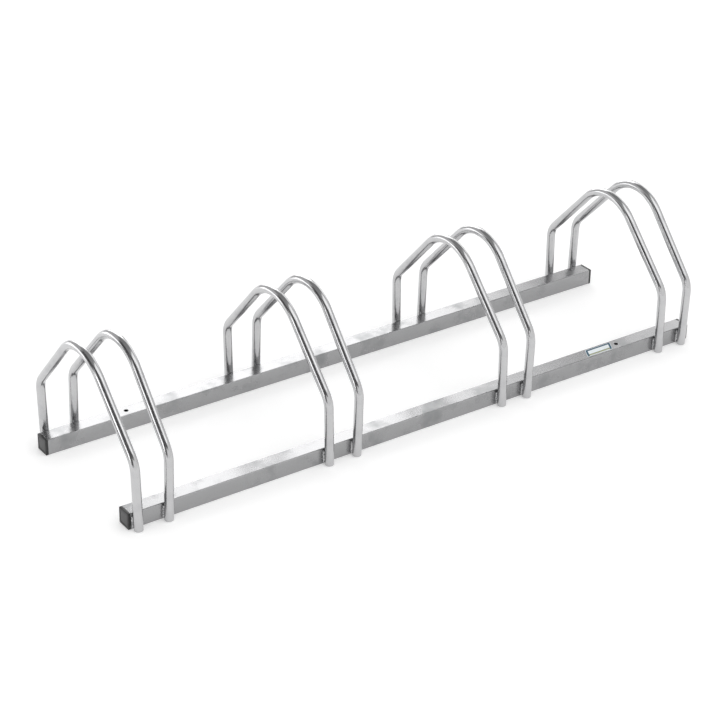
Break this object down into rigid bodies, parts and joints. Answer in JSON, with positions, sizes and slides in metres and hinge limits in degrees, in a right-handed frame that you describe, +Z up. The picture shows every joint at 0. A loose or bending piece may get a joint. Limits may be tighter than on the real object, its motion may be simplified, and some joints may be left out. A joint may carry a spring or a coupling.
{
  "type": "bicycle rack",
  "caption": "Low floor rack for bicycles: two square tube rails carry pairs of arched round tube hoops, each pair holding one wheel.",
  "frame": {"origin": "on the floor under the middle of the rack", "axes": "+X along the rails to the right, +Y from the front rail to the rear rail, +Z up"},
  "size_m": [1.204, 0.3386, 0.2666],
  "materials": {
    "rail_steel": "bright zinc plated",
    "hoop_steel": "bright zinc plated",
    "weld_steel": "weld bead, zinc plated",
    "cap_plastic": "moulded",
    "label_film": "plain film"
  },
  "bodies": {
    "root": {"front_rail": "rail_steel", "rear_rail": "rail_steel", "hoop_1": "hoop_steel", "hoop_2": "hoop_steel", "hoop_3": "hoop_steel", "hoop_4": "hoop_steel", "hoop_5": "hoop_steel", "hoop_6": "hoop_steel", "hoop_7": "hoop_steel", "hoop_8": "hoop_steel", "end_cap_front_left": "cap_plastic", "end_cap_front_right": "cap_plastic", "end_cap_rear_left": "cap_plastic", "end_cap_rear_right": "cap_plastic", "weld_1_front_left": "weld_steel", "weld_1_front_right": "weld_steel", "weld_1_rear_left": "weld_steel", "weld_1_rear_right": "weld_steel", "weld_2_front_left": "weld_steel", "weld_2_front_right": "weld_steel", "weld_2_rear_left": "weld_steel", "weld_2_rear_right": "weld_steel", "weld_3_front_left": "weld_steel", "weld_3_front_right": "weld_steel", "weld_3_rear_left": "weld_steel", "weld_3_rear_right": "weld_steel", "weld_4_front_left": "weld_steel", "weld_4_front_right": "weld_steel", "weld_4_rear_left": "weld_steel", "weld_4_rear_right": "weld_steel", "weld_5_front_left": "weld_steel", "weld_5_front_right": "weld_steel", "weld_5_rear_left": "weld_steel", "weld_5_rear_right": "weld_steel", "weld_6_front_left": "weld_steel", "weld_6_front_right": "weld_steel", "weld_6_rear_left": "weld_steel", "weld_6_rear_right": "weld_steel", "weld_7_front_left": "weld_steel", "weld_7_front_right": "weld_steel", "weld_7_rear_left": "weld_steel", "weld_7_rear_right": "weld_steel", "weld_8_front_left": "weld_steel", "weld_8_front_right": "weld_steel", "weld_8_rear_left": "weld_steel", "weld_8_rear_right": "weld_steel", "blank_label": "label_film"}
  },
  "joints": []
}
